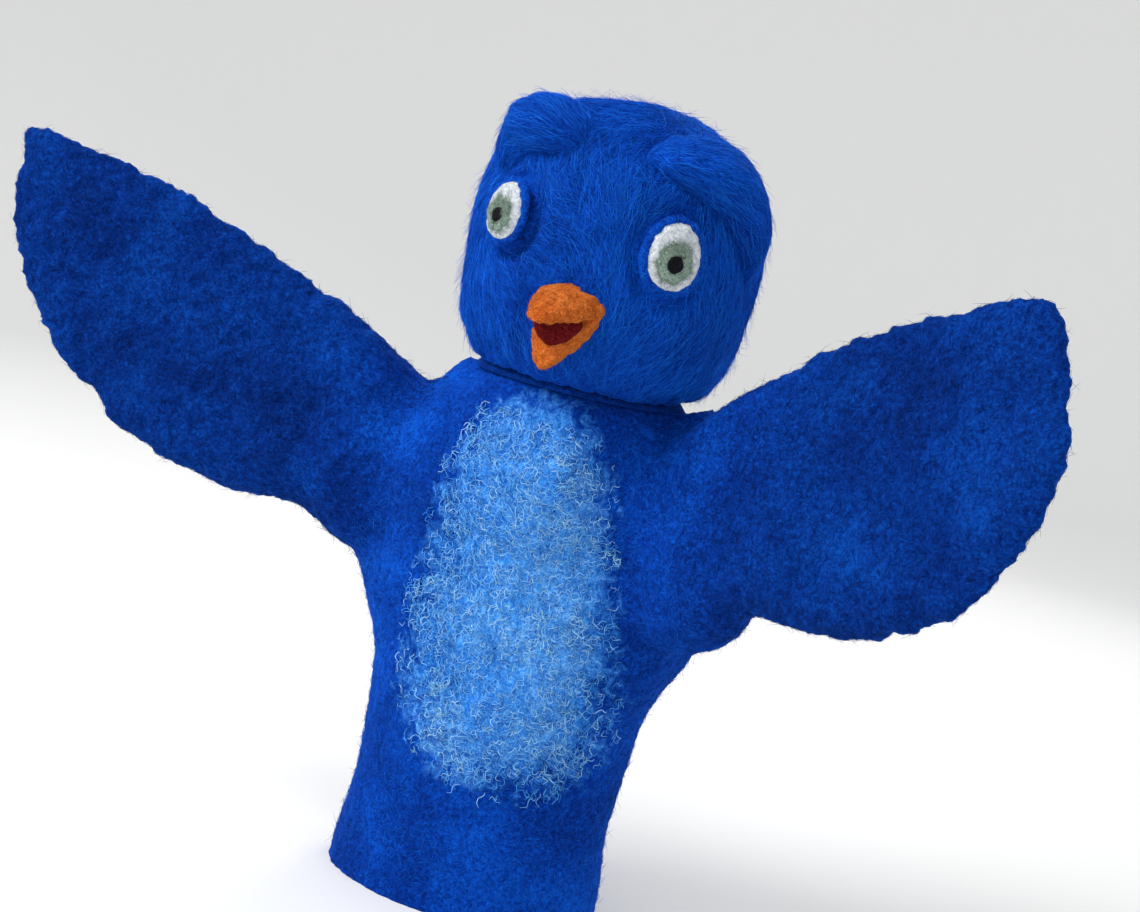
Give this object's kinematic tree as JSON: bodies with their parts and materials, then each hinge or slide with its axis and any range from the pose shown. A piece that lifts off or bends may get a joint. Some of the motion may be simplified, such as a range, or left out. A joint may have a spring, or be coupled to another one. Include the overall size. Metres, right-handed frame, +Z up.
{
  "type": "hand puppet",
  "caption": "Felted glove puppet of a bird: hollow hand bag on a flat cuff, stuffed head with open beak on a finger tube, two flat wings with finger pockets.",
  "frame": {"origin": "centre of the cuff opening, in the plane of the cuff rim that the puppet stands on", "axes": "+Z up from the cuff to the head, +X to the puppet's own left, across the spread wings, -Y the way the beak points"},
  "size_m": [0.3822, 0.1544, 0.295],
  "materials": {
    "blue_felt": "matt, hairy",
    "deep_blue_felt": "matt",
    "wing_felt": "matt, nubbly",
    "pale_curls": "matt, curly",
    "white_felt": "matt",
    "grey_green_felt": "matt",
    "black_felt": "matt",
    "orange_felt": "matt",
    "red_felt": "matt",
    "undyed_wool": "matt"
  },
  "bodies": {
    "torso": {"body_bag": "blue_felt", "breast_patch": "pale_curls"},
    "neck": {"neck_sleeve": "deep_blue_felt"},
    "finger": {"finger_tube": "undyed_wool"},
    "head": {"head_skin": "blue_felt", "head_core": "undyed_wool", "upper_beak": "orange_felt", "lower_beak": "orange_felt", "mouth_lining": "red_felt", "left_eye_rim": "blue_felt", "left_eye_white": "white_felt", "left_iris": "grey_green_felt", "left_pupil": "black_felt", "left_brow": "blue_felt", "right_eye_rim": "blue_felt", "right_eye_white": "white_felt", "right_iris": "grey_green_felt", "right_pupil": "black_felt", "right_brow": "blue_felt"},
    "left_shoulder": {"left_shoulder_gusset": "deep_blue_felt"},
    "left_arm": {"left_wing": "wing_felt"},
    "right_shoulder": {"right_shoulder_gusset": "deep_blue_felt"},
    "right_arm": {"right_wing": "wing_felt"}
  },
  "joints": [
    {"name": "head_nod", "type": "hinge", "parent": "torso", "child": "neck", "pos_m": [0, 0, 0.158], "axis": [1, 0, 0], "range_deg": [-15, 15]},
    {"name": "head_tilt", "type": "hinge", "parent": "neck", "child": "finger", "pos_m": [0, 0, 0.158], "axis": [0, 1, 0], "range_deg": [-7, 7]},
    {"name": "head_turn", "type": "hinge", "parent": "finger", "child": "head", "pos_m": [0, 0, 0.158], "axis": [0, 0, 1], "range_deg": [-30, 30]},
    {"name": "left_wing_swing", "type": "hinge", "parent": "torso", "child": "left_shoulder", "pos_m": [0.025, 0, 0.15], "axis": [0, 0, 1], "range_deg": [-8, 25]},
    {"name": "left_wing_flap", "type": "hinge", "parent": "left_shoulder", "child": "left_arm", "pos_m": [0.025, 0, 0.15], "axis": [0.6018, 0.7986, 0], "range_deg": [-8, 30]},
    {"name": "right_wing_swing", "type": "hinge", "parent": "torso", "child": "right_shoulder", "pos_m": [-0.025, 0, 0.15], "axis": [0, 0, 1], "range_deg": [-12, 25]},
    {"name": "right_wing_flap", "type": "hinge", "parent": "right_shoulder", "child": "right_arm", "pos_m": [-0.025, 0, 0.15], "axis": [-0.1908, 0.9816, 0], "range_deg": [-22, 16]}
  ]
}
